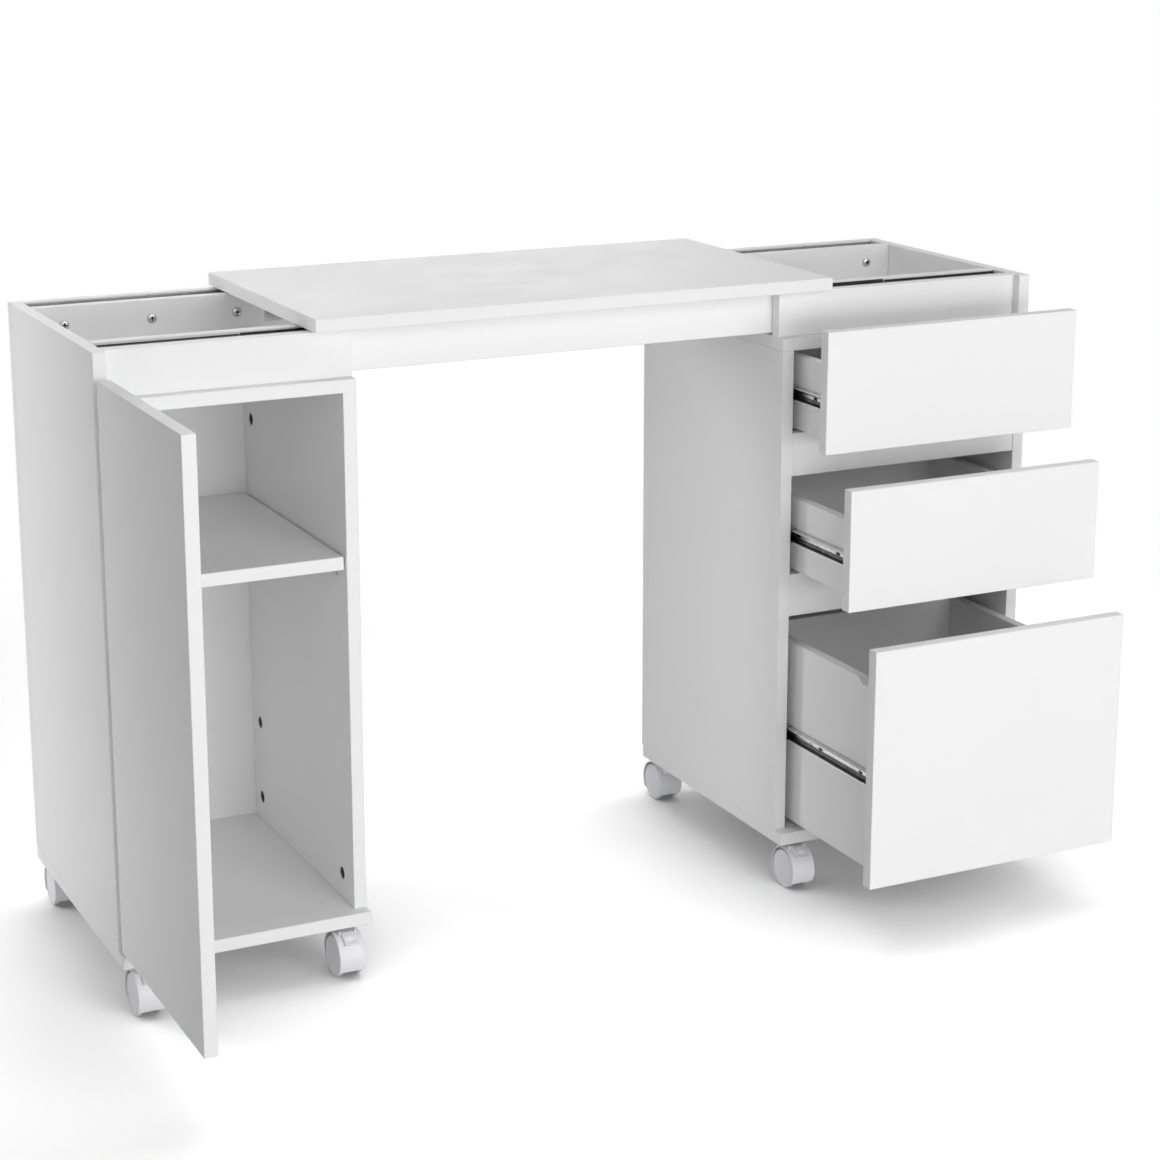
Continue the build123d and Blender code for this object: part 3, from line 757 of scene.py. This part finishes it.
# Castors: smooth hoods, dished twin wheels and pedals over the plain solids

WHEEL_HALF = (
    (2.0, 5.2), (8.6, 5.2), (9.2, 5.8), (9.4, 8.4), (10.2, 9.2), (22.2, 9.4), (23.1, 9.7), (23.5, 10.5),
    (23.5, 13.0), (23.2, 14.0), (22.4, 14.65), (21.4, 14.9), (20.8, 14.8), (20.4, 14.3), (19.4, 14.05),
    (9.0, 14.3), (0, 14.4),
)
HOOD_HALF = (
    (26.5, 0.0), (26.5, 13.4), (26.35, 14.5), (25.95, 15.25), (25.5, 15.5), (25.2, 15.3), (25.2, 5.2),
    (24.5, 4.5), (4.0, 4.5),
)
ROUND_SIDES = 96
HOOD_LIFT = 1.5
HOOD_SHARP = 32.0
HOOD_MOUTH = 10.5
MOUTH_CUT_HALF = 40.0
MOUTH_CUT_Y = (-60.0, 30.0)
MOUTH_CUT_LOW = -40.0
PIT_RADIUS = 24.9
PIT_HALF_WIDTH = 9.0
PIT_START, PIT_SWEEP, PIT_STEPS = -168.0, 156.0, 36
NECK_PROFILE = ((0, 40.5), (8.6, 40.5), (9.0, 44.0), (9.0, 57.1), (8.4, 57.7), (0, 57.7))
NECK_SIDES = 40
BORE_RADIUS = 3.1
BORE_ENDS = (41.6, 60.0)
BORE_SIDES = 24
LUG_REACHES = ((28.2, 2.4), (20.0, 2.5))
LUG_STEPS = 40
LUG_WIDTHS = ((-10.1, -8.3), (8.3, 10.1))
PEDAL_LEAN = 15.0
PEDAL_SWEEP = 37.0
PEDAL_LENGTH = 18.9
PEDAL_STEPS = 36
PEDAL_ACROSS = 16
PEDAL_INNER = 27.2
PEDAL_OUTER = 29.2
PEDAL_HALF = 8.0
PEDAL_SHARP = 50.0
PEDAL_END_DRAW_IN = 0.5
PEDAL_END_INNER = 0.3
PEDAL_END_OUTER = 0.6
INNER_ROUND = 0.4
OUTER_ROUND = 0.6
LIP_START = 0.80
LIP_SWELL = 1.6
DIMPLE_PLACE = 0.7
DIMPLE_HALF_WIDTH = 4.2
DIMPLE_HALF_LENGTH = 3.4
DIMPLE_DEPTH = 1.5

first_swivel = joint_place("left_front_left_swivel")
first_axle = joint_place("left_front_left_wheel_spin")
trail = first_swivel.y - first_axle.y
axle_z = first_axle.z
hood_z = axle_z + HOOD_LIFT


def mirrored(half):
    """A profile and its mirror image as one run."""
    return [(radius, -height) for radius, height in reversed(half)] + [pair for pair in half if pair[1]]


def slab_x(low, high, section):
    """A prism along X in hood plastic as a mesh."""
    shape = bmesh.new()
    bar_x(shape, low, high, section)
    return make_mesh("tool", shape, hood_plastic)


def turned_mesh(name, profile, where, sides, loop=False):
    """A turned form in hood plastic as a mesh."""
    shape = bmesh.new()
    turned(shape, profile, where, sides, loop)
    return make_mesh(name, shape, hood_plastic)


def around_hood(reach, angle):
    """The (y, z) place at a reach from the hood's axis, with the angle from +Y towards +Z."""
    return reach * math.cos(angle) - trail, reach * math.sin(angle) + hood_z


def make_hood_mesh(braked):
    """A hood about its swivel, trailing to -Y: a barrel with a web, a neck with a bore and a pedal's lugs."""
    axis = at((0, -trail, hood_z), (1, 0, 0))
    barrel = turned_mesh("barrel", mirrored(HOOD_HALF), axis, ROUND_SIDES, loop=True)
    neck = turned_mesh("neck", NECK_PROFILE, at((0, 0, 0)), NECK_SIDES)
    bore = turned_mesh("bore", plug(BORE_RADIUS, *BORE_ENDS), at((0, 0, 0)), BORE_SIDES)
    front, back = MOUTH_CUT_Y
    below = [(front, MOUTH_CUT_LOW), (back, MOUTH_CUT_LOW), (back, HOOD_MOUTH), (front, HOOD_MOUTH)]
    turns = [math.radians(PIT_START + PIT_SWEEP * k / PIT_STEPS) for k in range(PIT_STEPS + 1)]
    pit = [around_hood(PIT_RADIUS, turn) for turn in turns]
    steps = [("UNION", neck)]
    if braked:
        lean = math.radians(PEDAL_LEAN)
        discs = [(-reach * math.sin(lean), reach * math.cos(lean), radius) for reach, radius in LUG_REACHES]
        section = [(y - trail, z + hood_z) for y, z in hull(discs, LUG_STEPS)]
        for low, high in LUG_WIDTHS:
            steps.append(("UNION", slab_x(low, high, section)))
    steps.append(("DIFFERENCE", bore))
    steps.append(("DIFFERENCE", slab_x(-MOUTH_CUT_HALF, MOUTH_CUT_HALF, below)))
    steps.append(("DIFFERENCE", slab_x(-PIT_HALF_WIDTH, PIT_HALF_WIDTH, pit)))
    mesh = carved(barrel, steps, "castor_hood_form")
    mesh.shade_smooth()
    mesh.set_sharp_from_angle(angle=math.radians(HOOD_SHARP))
    return mesh


def make_wheel_mesh():
    """A pair of wheels on one axle, about their swivel."""
    shape = bmesh.new()
    turned(shape, mirrored(WHEEL_HALF), at((0, -trail, axle_z), (1, 0, 0)), ROUND_SIDES)
    return make_mesh("castor_wheel_form", shape, wheel_plastic)


def pedal_section(share, at_end):
    """The (x, reach) outline of the pedal at a share of its length, with its thumb dimple and its lip."""
    swell = LIP_SWELL * max(0.0, (share - LIP_START) / (1 - LIP_START)) ** 0.5
    inner = PEDAL_INNER + (PEDAL_END_INNER if at_end else 0.0)
    outer = PEDAL_OUTER + swell - (PEDAL_END_OUTER if at_end else 0.0)
    half = PEDAL_HALF - (PEDAL_END_DRAW_IN if at_end else 0.0)
    flat = half - INNER_ROUND
    section = [(-half, inner + INNER_ROUND), (-flat, inner), (flat, inner), (half, inner + INNER_ROUND)]
    section.append((half, outer - OUTER_ROUND))
    for n in range(PEDAL_ACROSS + 1):
        x = (half - OUTER_ROUND) * (1 - 2 * n / PEDAL_ACROSS)
        along = PEDAL_LENGTH * (share - DIMPLE_PLACE)
        off = math.hypot(x / DIMPLE_HALF_WIDTH, along / DIMPLE_HALF_LENGTH)
        section.append((x, outer - DIMPLE_DEPTH * math.exp(-off ** 4)))
    section.append((-half, outer - OUTER_ROUND))
    return section


def make_pedal_mesh():
    """A brake pedal: a rounded tab bent round the hood, with a thumb dimple and a thicker lip."""
    shape = bmesh.new()
    rings = []
    for k in range(PEDAL_STEPS + 1):
        share = k / PEDAL_STEPS
        turn = math.radians(90.0 + PEDAL_LEAN + PEDAL_SWEEP * share)
        section = pedal_section(share, k in (0, PEDAL_STEPS))
        rings.append([point(shape, Matrix(), x, *around_hood(reach, turn)) for x, reach in section])
    for low, high in zip(rings, rings[1:]):
        join(shape, low, high)
    shape.faces.new(rings[0])
    shape.faces.new(rings[-1])
    return make_mesh("castor_pedal_form", shape, hood_plastic, sharp=PEDAL_SHARP)


def make_castors():
    """Eight castors: the front ones trail forwards and have pedals, the rear ones trail backwards."""
    hoods = {braked: make_hood_mesh(braked) for braked in (True, False)}
    wheels = make_wheel_mesh()
    pedal = make_pedal_mesh()
    for side in SIDES:
        for end, turn in zip(ENDS, (0.0, math.pi)):
            for hand in HANDS:
                name = f"{side}_{end}_{hand}"
                swivel = joint_place(f"{name}_swivel")
                under = Vector((swivel.x, swivel.y, 0)) * MM
                where = Matrix.Translation(under) @ Matrix.Rotation(turn, 4, "Z")
                form = hoods[end == "front"]
                hood = put_piece(f"{name}_hood", form, f"{name}_castor", where)
                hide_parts(f"{name}_castor_hood")
                pair = put_piece(f"{name}_wheel_pair", wheels, f"{name}_wheels", where)
                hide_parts(f"{name}_castor_wheels")
                if end == "front":
                    lever = put_piece(f"{name}_pedal", pedal, f"{name}_brake", where)
                    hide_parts(f"{name}_brake_lever")


make_castors()


# Floor, light and camera, in metres

FLOOR_RADIUS = 30.0
FLOOR_SIDES = 96
FLOOR_FADE = 4.0
FLOOR_SHADE_REACH = 0.4
WORLD_FILL = 0.16
PHOTO_SIDE = 1160.0
FOCAL_PIXELS = 2565.04
SENSOR = 36.0
CAMERA_PLACE = (-1.26868, -2.56942, 1.21871)
CAMERA_DIP = 13.6723
CAMERA_TURN = -26.15
CAMERA_SHIFT = -0.08
CAMERA_REACH = 200.0


def make_floor():
    """A pale floor that shows white with the table's shadow near it, cast by the lamps and deepened by
    painted shade, and fades to plain white far away.
    """
    mesh = bpy.data.meshes.new("floor")
    shape = bmesh.new()
    bmesh.ops.create_circle(shape, cap_ends=True, radius=FLOOR_RADIUS, segments=FLOOR_SIDES)
    shape.to_mesh(mesh)
    shape.free()
    floor = add_object("floor", mesh)
    made, tree = material("floor")
    seen = tree.seen()
    where = tree.coords()
    far = tree.vector("LENGTH", where, output="Value")
    fade = tree.ramp(tree.math("DIVIDE", far, FLOOR_FADE), (0.24, 0.0), (0.44, 1.0))
    pale = tree.ramp(tree.noise(where, scale=3.0, detail=2.0), (0.2, 0.80), (0.8, 0.815))
    # painted shadow: the openness ramp darkens the floor near and under the table
    shade = tree.ramp(tree.openness(FLOOR_SHADE_REACH, samples=16), (0.1, 0.75), (0.8, 1.9))
    shown = tree.add("ShaderNodeBsdfDiffuse", {"Color": tree.mix(seen, pale, shade)})
    glow = tree.add("ShaderNodeEmission", {"Color": (1, 1, 1, 1), "Strength": 1.0})
    part = tree.math("MULTIPLY", fade, seen)
    both = tree.add("ShaderNodeMixShader", {"Fac": part, 1: shown.outputs[0], 2: glow.outputs[0]})
    tree.add("ShaderNodeOutputMaterial", {"Surface": both.outputs[0]})
    mesh.materials.append(made)


def make_world():
    """A white surround to look at, and a plain even fill for the light that falls on the table."""
    world = bpy.data.worlds.new("studio")
    world.use_nodes = True
    bpy.context.scene.world = world
    tree = Tree(world.node_tree)
    power = tree.math("ADD", tree.math("MULTIPLY", tree.seen(), 1.0 - WORLD_FILL), WORLD_FILL)
    back = tree.add("ShaderNodeBackground", {"Color": (1, 1, 1, 1), "Strength": power})
    tree.add("ShaderNodeOutputWorld", {"Surface": back.outputs[0]})


def make_lamp(name, place, target, size, watts, spread=180.0):
    lamp = bpy.data.lights.new(name, "AREA")
    lamp.shape = "RECTANGLE"
    lamp.size, lamp.size_y = size
    lamp.energy = watts
    lamp.spread = math.radians(spread)
    thing = add_object(name, lamp)
    thing.visible_camera = False
    thing.location = place
    thing.rotation_euler = (Vector(target) - Vector(place)).to_track_quat("-Z", "Y").to_euler()


def make_camera():
    """The photo's view from a camera that dips a little, so that the other views keep the top in sight."""
    lens = bpy.data.cameras.new("camera")
    lens.sensor_width = SENSOR
    lens.lens = FOCAL_PIXELS * SENSOR / PHOTO_SIDE
    lens.shift_y = CAMERA_SHIFT
    lens.clip_end = CAMERA_REACH
    camera = add_object("camera", lens)
    camera.location = CAMERA_PLACE
    camera.rotation_euler = (math.radians(90.0 - CAMERA_DIP), 0.0, math.radians(CAMERA_TURN))
    bpy.context.scene.camera = camera


make_floor()
make_world()
make_lamp("front", place=(0.9, -3.6, 1.7), target=(0.1, 0.0, 0.45), size=(2.6, 2.2), watts=49.0)
make_lamp("low", place=(0.2, -3.8, 0.55), target=(0.1, 0.0, 0.4), size=(3.2, 0.9), watts=44.0)
make_lamp("high", place=(-1.5, -2.7, 2.2), target=(-0.1, 0.0, 0.4), size=(1.4, 1.2), watts=8.0)
make_lamp("above", place=(0.1, 0.25, 2.8), target=(0.1, 0.2, 0.0), size=(1.6, 1.0), watts=12.5)
make_lamp("left", place=(-1.2, 0.9, 0.6), target=(-0.58, 0.25, 0.4), size=(0.5, 1.2), watts=1.05, spread=50.0)
make_lamp("slot", place=(-2.2, 1.6, 0.8), target=(0.3, 0.1, 0.4), size=(0.8, 1.2), watts=0.45, spread=30.0)
make_lamp("back", place=(0.9, 4.0, 1.4), target=(0.2, 0.3, 0.4), size=(2.8, 1.8), watts=36.0)
make_lamp("right", place=(3.4, 0.9, 1.1), target=(0.58, 0.2, 0.4), size=(1.6, 1.4), watts=26.0)
make_camera()

bpy.context.scene.view_settings.view_transform = "Standard"
